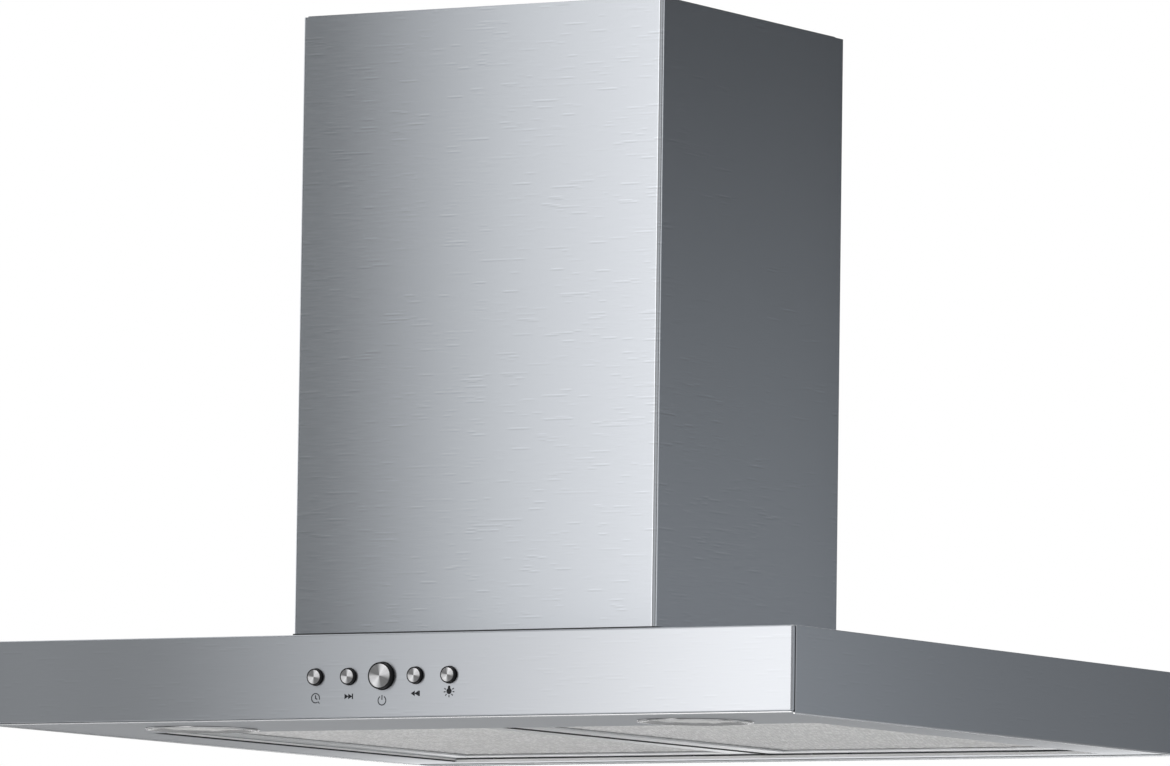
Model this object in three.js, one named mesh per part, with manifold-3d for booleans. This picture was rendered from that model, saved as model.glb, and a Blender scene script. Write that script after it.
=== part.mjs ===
// A ceiling-hung range hood: a flat square-edged canopy with a square telescopic chimney.
// Millimetres, +Z up. The origin is the centre of the duct axis on the ceiling plate's top face.
import * as THREE from 'three';
import { mergeVertices } from 'three/addons/utils/BufferGeometryUtils.js';
import Module from 'manifold-3d';

const wasm = await Module();
wasm.setup();

// ---------------------------------------------------------------- driving dimensions
const canopyWidth = 600;
const canopyDepth = 560;
const canopyHeight = 55;
const chimneyWidth = 274;
const chimneyDepth = 246;
const chimneyHeight = 419; // canopy top to ceiling, with the chimney at its shortest
const chimneySetback = 112; // canopy front to chimney front
const sheet = 1; // sheet steel of the canopy, covers and boxes
const seat = 0.3; // gap between pieces that rest on or against each other
const slideGap = 1.5; // gap between the telescoping covers
const postSheet = 2;
const postSlideGap = 0.6;
const postLeg = 20;
const lowerPostLeg = 17;
const upperPostLength = 384;
const lowerPostLength = 400;
const upperCoverLength = 400;
const ceilingPlateSheet = 3;
const ceilingFlangeHeight = 22;
const coverFlange = 14; // inward flanges along the open rear edges of the covers
const ductRadius = 75;
const ductPassRadius = 80;
const anchorSlot = { length: 22, width: 8, fromEnd: 33.2, fromFront: 27.2 }; // slots for the ceiling bolts
const basePlateSheet = 3;
const blowerBoxWidth = 212;
const blowerBoxDepth = 196;
const blowerBoxHeight = 232;
const blowerBoxFlange = 9;
const throatLeft = 70; // duct axis to the left wall of the scroll's outlet
const throatInset = 3; // how far the blower box's outlet stays inside the duct

const fasciaSheet = 1.2;
const fasciaReturn = 4;
const fasciaSeam = 0.5;
const shellFlangeHeight = 40;
const rimSide = 48; // flat rims around the filter well
const rimFront = 120;
const rimRear = 42;
const filterRecess = 2.7;
const filterThickness = 9.5;
const filterGap = 5; // between the two filters
const wellGap = 1.2; // around the filters
const ledgeWidth = 8;
const panFlange = 8; // height of the pan's outer flanges
const tabWidth = 26;
const tabSheet = 1.5;
const tabFromEnd = 44; // filter's side to the middle of its hinge tab
const tabOverlap = 2; // how far a tab reaches past the pan's wall
const tabSlot = { side: 1, below: 1.6, above: 4.6 }; // clearances around a tab

const frameBorder = 20;
const frameBorderFront = 36;
const frameLip = 1.2;
const frameGroove = 4;
const meshGapColumns = 4;
const meshGapRows = 6;
const meshGapShare = 0.55; // open share of each mesh pitch

const lampFromEnd = 114; // canopy side to lamp centre
const lampInset = 80; // canopy front to lamp centre
const lampTrimRadius = 37.5;
const lampTrimProud = 0.8;
const lampHoleRadius = 31;
const lampSleeve = 7; // how far the trim's sleeve stands inside the pan
const lampWall = 3;
const lensSheet = 3;
const lensSeat = 1; // width of the shoulder that carries the lens
const lampBodyHeight = 20;
const lampBodyFlange = 3;
const lampBodyWall = 5;

const buttonPitch = 25;
const buttonHeight = 27.5; // canopy bottom to the button centres
const buttonTravel = 2.2;
const smallButton = { radius: 5, gap: 0.6, proud: 3 };
const powerButton = { radius: 8.2, gap: 0.9, proud: 4 };
const buttonCollar = 1.6; // how far a button's retaining collar reaches past its hole
const buttonCollarSheet = 1.5;
const stemRadius = 2.5;
const stemLength = 9;
const carrierWall = 2;
const carrierWidth = 130;
const carrierHeight = 36;
const carrierFloorSheet = 3;
const carrierWindowGap = 1; // between the carrier and the shell's window
const standoff = { radius: 3, inset: 5 };
const boardSheet = 1.6;
const boardSwitch = { half: 3, height: 1.5 };
const controlBox = { width: 140, depth: 56, height: 32, fromFront: 36 };

const wheelRadius = 62;
const wheelWidth = 100;
const bladeCount = 12;
const bladeDepth = 12;
const bladeSheet = 1.2;
const bladeLean = 0.35;
const bladeInset = 0.6; // wheel rim to blade
const wheelRing = { sheet: 3, inner: 52 };
const wheelDisc = 2;
const wheelHub = { radius: 12, width: 12 };
const casingWidth = 120;
const casingSheet = 1.5;
const scrollStart = 72;
const scrollEnd = 90;
const scrollTongue = 0.72 * Math.PI; // the spiral starts at the cut-off tongue, past the top of the wheel
const scrollSteps = 36;
const scrollClearance = 12; // scroll casing to the bottom of the blower box
const inletRadius = 50;
const motorRadius = 38;
const motorFromMiddle = 9;
const shaftRadius = 4;
const shaftGap = 0.3;
const shaftSpan = [-12, 30];
const bracketArms = 3;
const bracketArmWidth = 14;
const bracketArmPast = 12; // how far the arms reach past the inlet
const bracketSheet = 2;
const bracketPadShare = 0.6; // of the motor's radius

const latchTravel = 4;
const latchWidth = 70;
const latchDepth = 15;
const latchSheet = 2.2;
const latchInset = 8; // filter's front edge to the latch pocket
const latchTongueWidth = 20;
const gripInset = { x: 8, y: 2 };

const flapSheet = 1.2;
const flapHeight = 14; // collar base to the flaps' hinge axes
const flapAxisOffset = 4; // duct centre to each hinge axis
const flapPinRadius = 1.5;
const flapBarrelRadius = 2;
const flapStop = 5; // width of the ledge that the closed flaps rest on
const flapGap = 1;
const collarHeight = 62;
const collarWall = 1.5;
const collarFlange = { width: 10, sheet: 2 };

const screwRadius = 2;
const screwGap = 0.2;
const screwHeadRadius = 3.6;
const screwHead = 0.9;
const screwLength = 6;
const coverScrewInset = 30; // cover ends to the screws
const coverGap = 1; // lower cover's top to the ceiling

const ventRows = 7;
const ventPitch = 11;
const ventHeight = 4;
const ventWidth = 110;
const ventTop = 45; // ceiling to the first vent row

const glandRadius = 7;
const glandBore = 4.5;
const glandNut = { rim: 1.8, height: 4 };
const glandBelow = 6;
const roundSegments = 32;
const ductSegments = 40;
const buttonSegments = 24;
const smallSegments = 12;
const headSegments = 16;

// ---------------------------------------------------------------- levels and planes
const canopyTop = -chimneyHeight;
const canopyBottom = canopyTop - canopyHeight;
const canopyFront = -chimneyDepth / 2 - chimneySetback;
const canopyRear = canopyFront + canopyDepth;
const halfCanopy = canopyWidth / 2;
const shellFront = canopyFront + fasciaReturn + fasciaSeam;

// ---------------------------------------------------------------- materials
const steel = (name, color, roughness, metalness) =>
  new THREE.MeshStandardMaterial({ name, color, roughness, metalness });
const brushed = () => steel('brushed_steel', 0xb9bcc2, 0.34, 1);
const galvanised = () => steel('galvanised', 0x9aa0a6, 0.5, 0.9);
const darkPlastic = () => steel('dark_plastic', 0x1b1c1e, 0.55, 0);
const whitePlastic = () => steel('white_plastic', 0xe6e6e2, 0.5, 0);
const aluminium = () => steel('aluminium', 0xc9ccd0, 0.42, 0.95);
const meshMetal = () => steel('filter_mesh', 0xa9acb0, 0.5, 0.9);
const buttonMetal = () => steel('button_metal', 0xd6d8db, 0.22, 1);
const chromeTrim = () => steel('chrome_trim', 0xdfe1e4, 0.12, 1);
const lampGlass = () => steel('lamp_glass', 0xf0f1ee, 0.3, 0);
const paintedMotor = () => steel('motor_metal', 0x6c7076, 0.5, 0.7);
const boardGreen = () => steel('circuit_board', 0x2f5a3c, 0.6, 0);

// ---------------------------------------------------------------- solids
const hood = new THREE.Group();

function toSolid(geometry) {
  const bare = geometry.clone();
  bare.deleteAttribute('normal');
  bare.deleteAttribute('uv');
  const merged = mergeVertices(bare, 1e-4);
  return new wasm.Manifold(new wasm.Mesh({
    numProp: 3,
    vertProperties: new Float32Array(merged.attributes.position.array),
    triVerts: new Uint32Array(merged.index.array),
  }));
}

function toGeometry(solid) {
  const result = solid.getMesh();
  const geometry = new THREE.BufferGeometry();
  geometry.setAttribute('position', new THREE.BufferAttribute(result.vertProperties, 3));
  geometry.setIndex(new THREE.BufferAttribute(result.triVerts, 1));
  geometry.computeVertexNormals();
  return geometry;
}

function join(...solids) {
  return solids.reduce((sum, solid) => sum.add(solid));
}

function cut(solid, ...tools) {
  return tools.reduce((left, tool) => left.subtract(tool), solid);
}

// A block between two values on each axis.
function block(x, y, z) {
  const geometry = new THREE.BoxGeometry(x[1] - x[0], y[1] - y[0], z[1] - z[0]);
  geometry.translate((x[0] + x[1]) / 2, (y[0] + y[1]) / 2, (z[0] + z[1]) / 2);
  return toSolid(geometry);
}

// A cylinder along one axis, between two values on that axis; centre gives the other two in x, y, z order.
function rod(axis, radius, span, centre, segments = roundSegments) {
  const geometry = new THREE.CylinderGeometry(radius, radius, span[1] - span[0], segments);
  const middle = (span[0] + span[1]) / 2;
  if (axis === 'x') {
    geometry.rotateZ(Math.PI / 2);
    geometry.translate(middle, centre[0], centre[1]);
  } else if (axis === 'y') {
    geometry.translate(centre[0], middle, centre[1]);
  } else {
    geometry.rotateX(Math.PI / 2);
    geometry.translate(centre[0], centre[1], middle);
  }
  return toSolid(geometry);
}

function place(name, solid, material) {
  const mesh = new THREE.Mesh(toGeometry(solid), material);
  mesh.name = name;
  hood.add(mesh);
}

const around = (half, middle = 0) => [middle - half, middle + half];
const grown = (span, by) => [span[0] - by, span[1] + by];
const past = 5; // how far a cutting tool runs past the face it opens

// ---------------------------------------------------------------- chimney covers
// A cover is a bent front-and-sides sheet with inward rear flanges, and a rear panel let in behind them.
function coverSet(name, half, front, rear, z, screwHeights, sideCuts) {
  const open = [z[0] - past, z[1] + past];
  const flangeRear = rear - sheet - seat;
  const innerRear = flangeRear - sheet;
  const inner = around(half - sheet);
  const bent = cut(
    block(around(half), [front, rear], z),
    block(inner, [front + sheet, innerRear], open),
    block(around(half - sheet - coverFlange), [front + sheet, rear + past], open),
    block(inner, [flangeRear, rear + past], open),
    ...sideCuts,
  );
  const panelHalf = half - sheet - seat;
  const panel = block(around(panelHalf), [rear - sheet, rear], z);
  const screwX = panelHalf - coverFlange / 2;
  const holes = [];
  for (const side of [-1, 1]) {
    for (const height of screwHeights) {
      holes.push(rod('y', screwRadius + screwGap, [innerRear - past, rear + past], [side * screwX, height],
        smallSegments));
    }
  }
  place(name, cut(bent, ...holes), brushed());
  place(`${name}_rear_panel`, cut(panel, ...holes), brushed());
  return { innerHalf: half - sheet, innerFront: front + sheet, innerRear, screwX };
}

const coverRear = chimneyDepth / 2;
const lowerSpan = [canopyTop + seat, -coverGap];
const lowerScrewHeights = [lowerSpan[0] + coverScrewInset, lowerSpan[1] - coverScrewInset];
const lowerCover = coverSet('lower_cover', chimneyWidth / 2, -coverRear, coverRear, lowerSpan,
  lowerScrewHeights, []);

// Slotted screws hold the rear panel; the inner cover passes inside their points.
let screwNumber = 0;
for (const side of [-1, 1]) {
  for (const height of lowerScrewHeights) {
    screwNumber += 1;
    const centre = [side * lowerCover.screwX, height];
    const headTop = coverRear + seat + screwHead;
    const shankTop = headTop - screwHead / 2;
    const screw = join(
      rod('y', screwHeadRadius, [coverRear + seat, headTop], centre, headSegments),
      rod('y', screwRadius, [shankTop - screwLength, shankTop], centre, smallSegments),
    );
    const slot = block(around(screwRadius, centre[0]), [headTop - screwHead / 3, headTop + past],
      around(screwHead / 2, height));
    place(`rear_panel_screw_${screwNumber}`, cut(screw, slot), chromeTrim());
  }
}

// How far the rear panel's screws reach past the lower cover's rear flange.
const screwReach = screwLength - screwHead / 2 - seat - 2 * sheet - seat;
const upperHalf = lowerCover.innerHalf - slideGap;
const upperFront = lowerCover.innerFront + slideGap;
const upperRear = lowerCover.innerRear - screwReach - slideGap;
const upperSpan = [-upperCoverLength, 0];
const sideScrewY = chimneyDepth / 4;
const sideScrewZ = -ceilingPlateSheet - (ceilingFlangeHeight - ceilingPlateSheet) / 2;
const ventCuts = [];
for (const side of [-1, 1]) {
  const wall = around(past, side * upperHalf);
  for (let row = 0; row < ventRows; row += 1) {
    const z = -ventTop - row * ventPitch;
    ventCuts.push(block(wall, around(ventWidth / 2), [z - ventHeight, z]));
  }
  for (const y of [-sideScrewY, sideScrewY]) {
    ventCuts.push(rod('x', screwRadius + screwGap, wall, [y, sideScrewZ], smallSegments));
  }
}
const upperCover = coverSet('upper_cover', upperHalf, upperFront, upperRear, upperSpan, [], ventCuts);

// ---------------------------------------------------------------- ceiling section
const plateHalf = upperCover.innerHalf - seat;
const plateFront = upperCover.innerFront + seat;
const plateRear = upperCover.innerRear - seat;
const flangeInner = plateHalf - postSheet;
const plateHoles = [rod('z', ductPassRadius, [-ceilingPlateSheet - past, past], [0, 0], ductSegments)];
for (const sideX of [-1, 1]) {
  for (const sideY of [-1, 1]) {
    const x = sideX * (plateHalf - anchorSlot.fromEnd);
    const y = sideY * (-plateFront - anchorSlot.fromFront);
    plateHoles.push(block(around(anchorSlot.length / 2, x), around(anchorSlot.width / 2, y),
      [-ceilingPlateSheet - past, past]));
  }
  for (const y of [-sideScrewY, sideScrewY]) {
    const wall = around(past, sideX * plateHalf);
    plateHoles.push(rod('x', screwRadius + screwGap, wall, [y, sideScrewZ], smallSegments));
  }
}
place('ceiling_plate', cut(
  block(around(plateHalf), [plateFront, plateRear], [-ceilingFlangeHeight, 0]),
  block(around(flangeInner), [plateFront - past, plateRear + past],
    [-ceilingFlangeHeight - past, -ceilingPlateSheet]),
  ...plateHoles,
), galvanised());

screwNumber = 0;
for (const side of [-1, 1]) {
  for (const y of [-sideScrewY, sideScrewY]) {
    screwNumber += 1;
    const face = upperHalf + seat;
    const head = [face, face + screwHead];
    const shank = [face + screwHead / 2 - screwLength, face + screwHead / 2];
    const mirrored = (span) => (side < 0 ? [-span[1], -span[0]] : span);
    place(`ceiling_screw_${screwNumber}`, join(
      rod('x', screwHeadRadius, mirrored(head), [y, sideScrewZ], headSegments),
      rod('x', screwRadius, mirrored(shank), [y, sideScrewZ], smallSegments),
    ), chromeTrim());
  }
}

// Angle posts: the upper ones hang from the ceiling plate, and the lower ones slide inside them.
function angle(outerX, outerY, sideX, sideY, leg, z) {
  const x = (from, to) => [sideX * (outerX - from), sideX * (outerX - to)].sort((a, b) => a - b);
  const y = (from, to) => [sideY * (outerY - from), sideY * (outerY - to)].sort((a, b) => a - b);
  return join(block(x(0, leg), y(0, postSheet), z), block(x(0, postSheet), y(0, leg), z));
}
const postX = flangeInner - seat;
const postY = { front: -plateFront, rear: plateRear };
const upperPostSpan = [-ceilingPlateSheet - seat - upperPostLength, -ceilingPlateSheet - seat];
const lowerPostFoot = canopyTop + seat + basePlateSheet + seat;
const lowerPostSpan = [lowerPostFoot, lowerPostFoot + lowerPostLength];
const postInset = postSheet + postSlideGap;
for (const [nameX, sideX] of [['left', -1], ['right', 1]]) {
  for (const [nameY, sideY] of [['front', -1], ['rear', 1]]) {
    const outerY = postY[nameY];
    place(`upper_post_${nameY}_${nameX}`,
      angle(postX, outerY, sideX, sideY, postLeg, upperPostSpan), galvanised());
    place(`lower_post_${nameY}_${nameX}`,
      angle(postX - postInset, outerY - postInset, sideX, sideY, lowerPostLeg, lowerPostSpan), galvanised());
  }
}

// ---------------------------------------------------------------- blower
const boxHalf = blowerBoxWidth / 2;
const boxHalfDepth = blowerBoxDepth / 2;
const intake = { x: around(boxHalf - blowerBoxFlange), y: around(boxHalfDepth - blowerBoxFlange) };
const baseTop = canopyTop + seat + basePlateSheet;
const glandX = (boxHalf + postX - postInset) / 2;
const glandHole = (z) => rod('z', glandRadius + screwGap, z, [-glandX, 0], headSegments);
place('frame_base', cut(
  block(around(postX), [-postY.front, postY.rear], [canopyTop + seat, baseTop]),
  block(intake.x, intake.y, [canopyTop - past, baseTop + past]),
  glandHole([canopyTop - past, baseTop + past]),
), galvanised());

const boxBottom = baseTop + seat;
const boxTop = boxBottom + blowerBoxHeight;
const throat = { x: around(casingWidth / 2 - casingSheet), left: -throatLeft, right: scrollEnd };
const boxHole = rod('z', ductRadius - throatInset, around(past + sheet, boxTop), [0, 0], ductSegments)
  .intersect(block(throat.x, [throat.left + casingSheet, throat.right - casingSheet], around(past, boxTop)));
place('blower_box', cut(
  block(around(boxHalf), around(boxHalfDepth), [boxBottom, boxTop]),
  block(around(boxHalf - sheet), around(boxHalfDepth - sheet), [boxBottom + sheet, boxTop - sheet]),
  block(intake.x, intake.y, [boxBottom - past, boxBottom + past]),
  boxHole,
), galvanised());

// Outlines here are drawn in y (across) and z (up) and then stood on edge along x.
function upright(points, x) {
  const geometry = new THREE.ExtrudeGeometry(new THREE.Shape(points.map(([y, z]) => new THREE.Vector2(y, z))),
    { depth: x[1] - x[0], bevelEnabled: false });
  geometry.rotateX(Math.PI / 2);
  geometry.rotateZ(Math.PI / 2);
  geometry.translate(x[0], 0, 0);
  return toSolid(geometry);
}
const wheelZ = boxBottom + scrollEnd + scrollClearance;
function scrollOutline(inset, top) {
  const points = [];
  for (let i = 0; i <= scrollSteps; i += 1) {
    const turn = i / scrollSteps;
    const angleNow = scrollTongue + turn * (2 * Math.PI - scrollTongue);
    const radius = scrollStart + (scrollEnd - scrollStart) * turn - inset;
    points.push([radius * Math.cos(angleNow), wheelZ + radius * Math.sin(angleNow)]);
  }
  points.push([throat.right - inset, top], [throat.left + inset, top]);
  return points;
}
const casingTop = boxTop - sheet - seat;
place('scroll_casing', cut(
  upright(scrollOutline(0, casingTop), around(casingWidth / 2)),
  upright(scrollOutline(casingSheet, casingTop + past), around(casingWidth / 2 - casingSheet)),
  rod('x', inletRadius, around(casingWidth / 2 + past), [0, wheelZ]),
), galvanised());

const hub = rod('x', wheelHub.radius, around(wheelHub.width / 2), [0, wheelZ], headSegments);
const disc = rod('x', wheelRadius, around(wheelDisc / 2), [0, wheelZ]);
let wheel = join(hub, disc);
for (const side of [-1, 1]) {
  const span = around(wheelRing.sheet / 2, side * wheelWidth / 2);
  wheel = wheel.add(cut(rod('x', wheelRadius, span, [0, wheelZ]),
    rod('x', wheelRing.inner, grown(span, past), [0, wheelZ])));
}
for (let i = 0; i < bladeCount; i += 1) {
  const blade = new THREE.BoxGeometry(wheelWidth, bladeSheet, bladeDepth);
  blade.rotateX(bladeLean);
  blade.translate(0, 0, wheelRadius - bladeDepth / 2 - bladeInset);
  blade.rotateX((i / bladeCount) * 2 * Math.PI);
  blade.translate(0, 0, wheelZ);
  wheel = wheel.add(toSolid(blade));
}
const wheelBore = rod('x', shaftRadius + seat, around(wheelHub.width), [0, wheelZ], headSegments);
place('blower_wheel', cut(wheel, wheelBore), darkPlastic());
place('motor_shaft', rod('x', shaftRadius, shaftSpan, [0, wheelZ], headSegments), chromeTrim());
const motorSpan = [motorFromMiddle, casingWidth / 2];
place('motor', cut(
  rod('x', motorRadius, motorSpan, [0, wheelZ]),
  rod('x', shaftRadius + shaftGap, [motorSpan[0] - past, shaftSpan[1] + seat], [0, wheelZ], headSegments),
), paintedMotor());
const bracketSpan = [motorSpan[1] + seat, motorSpan[1] + seat + bracketSheet];
const armLength = inletRadius + bracketArmPast;
let bracket = rod('x', motorRadius * bracketPadShare, bracketSpan, [0, wheelZ]);
for (let i = 0; i < bracketArms; i += 1) {
  const arm = new THREE.BoxGeometry(bracketSheet, bracketArmWidth, armLength);
  arm.translate((bracketSpan[0] + bracketSpan[1]) / 2, 0, armLength / 2);
  arm.rotateX((i / bracketArms) * 2 * Math.PI);
  arm.translate(0, 0, wheelZ);
  bracket = bracket.add(toSolid(arm));
}
place('motor_bracket', bracket, galvanised());

const collarBase = boxTop + seat;
const flapZ = collarBase + flapHeight;
const collarInner = ductRadius - collarWall;
const flapBarrelHalf = collarInner - flapStop - flapGap;
const stopTop = flapZ - flapSheet / 2 - seat;
const flapAxes = [['front', -1], ['rear', 1]];
place('outlet_collar', cut(
  join(
    rod('z', ductRadius + collarFlange.width, [collarBase, collarBase + collarFlange.sheet], [0, 0],
      ductSegments),
    rod('z', ductRadius, [collarBase, collarBase + collarHeight], [0, 0], ductSegments),
  ),
  rod('z', collarInner, [stopTop, collarBase + collarHeight + past], [0, 0], ductSegments),
  rod('z', collarInner - flapStop, [collarBase - past, stopTop + past], [0, 0], ductSegments),
  ...flapAxes.map(([, side]) => rod('x', flapPinRadius + seat, around(ductRadius + past),
    [side * flapAxisOffset, flapZ], smallSegments)),
), darkPlastic());
for (const [name, side] of flapAxes) {
  const axisY = side * flapAxisOffset;
  const radius = collarInner - flapGap;
  const beyond = side < 0 ? [-radius - past, axisY] : [axisY, radius + past];
  const plate = rod('z', radius, [flapZ - flapSheet / 2, flapZ + flapSheet / 2], [0, 0], ductSegments)
    .intersect(block(around(radius + past), beyond, [flapZ - past, flapZ + past]));
  place(`backdraft_flap_${name}`, join(plate,
    rod('x', flapBarrelRadius, around(flapBarrelHalf), [axisY, flapZ], smallSegments),
    rod('x', flapPinRadius, around(ductRadius), [axisY, flapZ], smallSegments)), darkPlastic());
}

// ---------------------------------------------------------------- canopy
const shellHalf = halfCanopy - sheet;
const shellInnerFront = shellFront + sheet;
const windowHalf = carrierWidth / 2 + carrierWindowGap;
const buttonZ = canopyBottom + buttonHeight;
const windowZ = around(carrierHeight / 2 + carrierWindowGap, buttonZ);
const shellFloor = canopyBottom - past;
place('canopy_shell', cut(
  block(around(halfCanopy), [shellFront, canopyRear], [canopyBottom, canopyTop]),
  block(around(shellHalf), [shellInnerFront, canopyRear - sheet], [shellFloor, canopyTop - sheet]),
  block(around(shellHalf), [shellFront - past, canopyRear - sheet],
    [shellFloor, canopyTop - shellFlangeHeight]),
  block(intake.x, intake.y, [canopyTop - past, canopyTop + past]),
  block(around(windowHalf), [shellFront - past, shellInnerFront + past], windowZ),
  glandHole([canopyTop - past, canopyTop + past]),
), brushed());

const buttons = [-2, -1, 0, 1, 2].map((step) => ({
  x: step * buttonPitch,
  ...(step === 0 ? powerButton : smallButton),
}));
const buttonNames = ['timer_button', 'speed_down_button', 'power_button', 'speed_up_button', 'lamp_button'];
place('front_fascia', cut(
  block(around(halfCanopy), [canopyFront, canopyFront + fasciaReturn], [canopyBottom, canopyTop]),
  block(around(halfCanopy - fasciaSheet), [canopyFront + fasciaSheet, canopyFront + past * 2],
    [canopyBottom + fasciaSheet, canopyTop - fasciaSheet]),
  ...buttons.map(({ x, radius, gap }) => rod('y', radius + gap, around(past, canopyFront), [x, buttonZ],
    buttonSegments)),
), brushed());

// The pan closes the canopy's underside: flat rims with lamp holes, and a well that takes the filters.
const well = {
  x: around(halfCanopy - rimSide),
  y: [canopyFront + rimFront, canopyRear - rimRear],
};
const filterBottom = canopyBottom + filterRecess;
const ledgeZ = filterBottom + filterThickness + seat;
const panTop = canopyBottom + panFlange;
const panX = around(shellHalf - seat);
const panY = [shellInnerFront + seat, canopyRear - sheet - seat];
const lampX = halfCanopy - lampFromEnd;
const lamps = [['left', -lampX], ['right', lampX]];
const lampY = canopyFront + lampInset;
const windowX = [ledgeWidth + filterGap / 2, well.x[1] - ledgeWidth];
const windows = [[-windowX[1], -windowX[0]], windowX];
const filterWidth = (well.x[1] - well.x[0] - filterGap) / 2 - wellGap;
const filterCentres = [['left', -(filterGap + filterWidth) / 2], ['right', (filterGap + filterWidth) / 2]];
const filterY = [well.y[0] + wellGap, well.y[1] - wellGap];
const tabX = (centre) => around(filterWidth / 2 - tabFromEnd, centre);
const tabReach = wellGap + sheet + tabOverlap;
const hingeZ = filterBottom + tabSheet / 2;
const tabSlots = filterCentres.flatMap(([, centre]) => tabX(centre).map((x) =>
  block(around(tabWidth / 2 + tabSlot.side, x), [well.y[1] - sheet / 2, well.y[1] + past],
    [hingeZ - tabSlot.below, hingeZ + tabSlot.above])));
place('bottom_pan', cut(
  join(
    cut(
      block(panX, panY, [canopyBottom, panTop]),
      block(grown(panX, -sheet), grown(panY, -sheet), [canopyBottom + sheet, panTop + past]),
    ),
    block(grown(well.x, sheet), grown(well.y, sheet), [canopyBottom, ledgeZ + sheet]),
  ),
  block(well.x, well.y, [canopyBottom - past, ledgeZ]),
  ...windows.map((x) => block(x, grown(well.y, -ledgeWidth), [canopyBottom - past, panTop + past])),
  ...lamps.map(([, x]) => rod('z', lampHoleRadius, [canopyBottom - past, canopyBottom + past], [x, lampY])),
  ...tabSlots,
), brushed());

// ---------------------------------------------------------------- filters
for (const [name, centre] of filterCentres) {
  const x = around(filterWidth / 2, centre);
  const top = filterBottom + filterThickness;
  const open = { x: grown(x, -frameBorder), y: [filterY[0] + frameBorderFront, filterY[1] - frameBorder] };
  const through = [filterBottom - past, top + past];
  const latchY = filterY[0] + latchInset;
  const pocketY = [latchY, latchY + latchDepth + latchTravel + 2 * seat];
  const pocketX = around(latchWidth / 2 + seat, centre);
  const pocketZ = [filterBottom + frameLip, filterBottom + frameLip + latchSheet + 2 * seat];
  const gripX = grown(pocketX, -gripInset.x);
  const tongueX = around(latchTongueWidth / 2, centre);
  const tabs = tabX(centre).map((tab) => block(around(tabWidth / 2, tab),
    [filterY[1] - frameLip, filterY[1] + tabReach], [filterBottom, filterBottom + tabSheet]));
  place(`filter_frame_${name}`, join(cut(
    block(x, filterY, [filterBottom, top]),
    block(open.x, open.y, through),
    block(grown(open.x, frameGroove), grown(open.y, frameGroove), [filterBottom + frameLip, top - frameLip]),
    block(pocketX, pocketY, pocketZ),
    block(gripX, grown(pocketY, -gripInset.y), [filterBottom - past, pocketZ[1]]),
    block(grown(tongueX, seat), [filterY[0] - past, pocketY[0] + past], pocketZ),
  ), ...tabs), aluminium());

  // The mesh pack is a sheet with rows of gaps, and its plain edge sits in the frame's groove.
  const meshX = grown(open.x, frameGroove - seat);
  const meshY = grown(open.y, frameGroove - seat);
  const meshZ = [filterBottom + frameLip + seat, top - frameLip - seat];
  const pitchX = (open.x[1] - open.x[0]) / meshGapColumns;
  const pitchY = (open.y[1] - open.y[0]) / meshGapRows;
  const gaps = [];
  for (let column = 0; column < meshGapColumns; column += 1) {
    for (let row = 0; row < meshGapRows; row += 1) {
      const middleX = open.x[0] + (column + 0.5) * pitchX;
      const middleY = open.y[0] + (row + 0.5) * pitchY;
      gaps.push(block(around((pitchX * meshGapShare) / 2, middleX),
        around((pitchY * meshGapShare) / 2, middleY), grown(meshZ, past)));
    }
  }
  const mesh = cut(block(meshX, meshY, meshZ), ...gaps);
  place(`filter_mesh_${name}`, mesh, meshMetal());

  const latchZ = [pocketZ[0] + seat, pocketZ[1] - seat];
  const gripY = [pocketY[0] + gripInset.y + seat, pocketY[0] + latchDepth - gripInset.y];
  place(`filter_latch_${name}`, join(
    block(around(latchWidth / 2, centre), [pocketY[0] + seat, pocketY[0] + seat + latchDepth], latchZ),
    block(tongueX, [well.y[0] + seat, gripY[0]], latchZ),
    block(grown(gripX, -seat), gripY, [filterBottom, latchZ[1]]),
  ), darkPlastic());
}

// ---------------------------------------------------------------- lamps
for (const [name, x] of lamps) {
  const at = [x, lampY];
  const face = canopyBottom - seat;
  const sleeveTop = canopyBottom + lampSleeve;
  const mouth = lampHoleRadius - lampWall;
  const shoulder = mouth + lensSeat;
  const lensFace = face + 2 * seat;
  place(`lamp_trim_${name}`, cut(
    join(
      rod('z', lampTrimRadius, [face - lampTrimProud, face], at),
      rod('z', lampHoleRadius - seat, [face, sleeveTop], at),
    ),
    rod('z', mouth, [face - past * 2, sleeveTop + past], at),
    rod('z', shoulder, [face + seat, sleeveTop + past], at),
  ), chromeTrim());
  place(`lamp_lens_${name}`, rod('z', shoulder - seat, [lensFace, lensFace + lensSheet], at), lampGlass());
  const body = [sleeveTop + seat, sleeveTop + seat + lampBodyHeight];
  place(`lamp_body_${name}`, cut(
    rod('z', lampHoleRadius + lampBodyFlange, body, at),
    rod('z', lampHoleRadius - lampBodyWall, [body[0] - past, body[1] - lampWall], at, buttonSegments),
  ), whitePlastic());
}

// ---------------------------------------------------------------- controls
const fasciaBack = canopyFront + fasciaSheet;
const collarFront = fasciaBack + seat;
const collarBack = collarFront + buttonCollarSheet;
const carrierFloor = collarBack + buttonTravel + seat;
const carrierBack = carrierFloor + carrierFloorSheet;
const stemEnd = collarBack + stemLength;
const switchTip = stemEnd + buttonTravel + seat;
const boardFront = switchTip + boardSwitch.height;
buttons.forEach(({ x, radius, gap, proud }, index) => {
  place(buttonNames[index], join(
    rod('y', radius, [canopyFront - proud, collarBack], [x, buttonZ], buttonSegments),
    rod('y', radius + gap + buttonCollar, [collarFront, collarBack], [x, buttonZ], buttonSegments),
    rod('y', stemRadius, [collarBack - buttonCollarSheet / 2, stemEnd], [x, buttonZ], smallSegments),
  ), buttonMetal());
});
const carrierX = around(carrierWidth / 2);
const carrierZ = around(carrierHeight / 2, buttonZ);
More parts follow.
